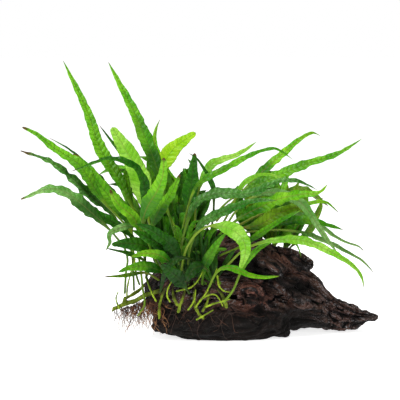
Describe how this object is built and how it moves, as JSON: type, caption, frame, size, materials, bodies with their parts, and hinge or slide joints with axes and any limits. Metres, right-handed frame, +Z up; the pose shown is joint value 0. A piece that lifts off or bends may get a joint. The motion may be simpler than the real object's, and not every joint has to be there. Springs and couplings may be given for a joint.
{
  "type": "aquarium fern on driftwood",
  "caption": "Aquarium fern with long narrow fronds rising from creeping rhizomes on a dark, furrowed chunk of driftwood that lies on a flat face.",
  "frame": {"origin": "middle of the wood's flat rest face, on the surface that it lies on", "axes": "+X towards the wood's tapering tail, -Y towards the side the rhizomes cling to, +Z up"},
  "size_m": [0.3101, 0.2025, 0.2331],
  "materials": {
    "wet_wood": "satin",
    "rhizome_skin": "satin",
    "root_hair": "matte",
    "leaf_bright": "satin",
    "leaf_green": "satin",
    "leaf_dark": "gloss"
  },
  "bodies": {
    "root": {"driftwood": "wet_wood", "frond_arched_left": "leaf_dark", "frond_back_left": "leaf_green", "frond_back_middle": "leaf_bright", "frond_back_right": "leaf_green", "frond_bent_pale": "leaf_bright", "frond_broad_left": "leaf_green", "frond_curled_pale": "leaf_green", "frond_curly_dark": "leaf_dark", "frond_dark_centre_lower": "leaf_dark", "frond_dark_centre_upper": "leaf_dark", "frond_dark_low_left": "leaf_dark", "frond_fan_upper": "leaf_green", "frond_folded_pale": "leaf_bright", "frond_front_bright": "leaf_bright", "frond_front_middle": "leaf_green", "frond_hanging_spotted": "leaf_green", "frond_low_bright": "leaf_green", "frond_low_brown": "leaf_green", "frond_low_dark_broad": "leaf_dark", "frond_low_left": "leaf_green", "frond_low_thin": "leaf_green", "frond_oval_green": "leaf_green", "frond_over_wood_arc": "leaf_green", "frond_over_wood_wave": "leaf_bright", "frond_pale_blunt": "leaf_bright", "frond_right_arched": "leaf_green", "frond_right_bright": "leaf_bright", "frond_right_dark": "leaf_green", "frond_right_drooping": "leaf_green", "frond_right_glossy": "leaf_green", "frond_right_hooked": "leaf_bright", "frond_right_long": "leaf_green", "frond_right_low_thin": "leaf_green", "frond_right_lowest_thin": "leaf_green", "frond_right_narrow_rib": "leaf_green", "frond_right_neck": "leaf_green", "frond_right_olive": "leaf_green", "frond_right_pair": "leaf_bright", "frond_right_pale_arc": "leaf_bright", "frond_right_pale_long": "leaf_bright", "frond_right_rising_pale": "leaf_bright", "frond_small_dark_left": "leaf_dark", "frond_small_lobed": "leaf_green", "frond_small_yellow": "leaf_bright", "frond_tall_left": "leaf_green", "frond_tall_middle": "leaf_green", "frond_thin_left": "leaf_dark", "frond_top_dark": "leaf_dark", "frond_upper_left": "leaf_green", "frond_wavy_left": "leaf_green", "frond_yellow_crown": "leaf_bright", "inner_fronds_front": "leaf_green", "inner_fronds_left": "leaf_green", "inner_fronds_right": "leaf_green", "rhizome_front": "rhizome_skin", "rhizome_left": "rhizome_skin", "rhizome_top": "rhizome_skin", "rhizome_upper_left": "rhizome_skin", "root_tuft": "root_hair"}
  },
  "joints": []
}
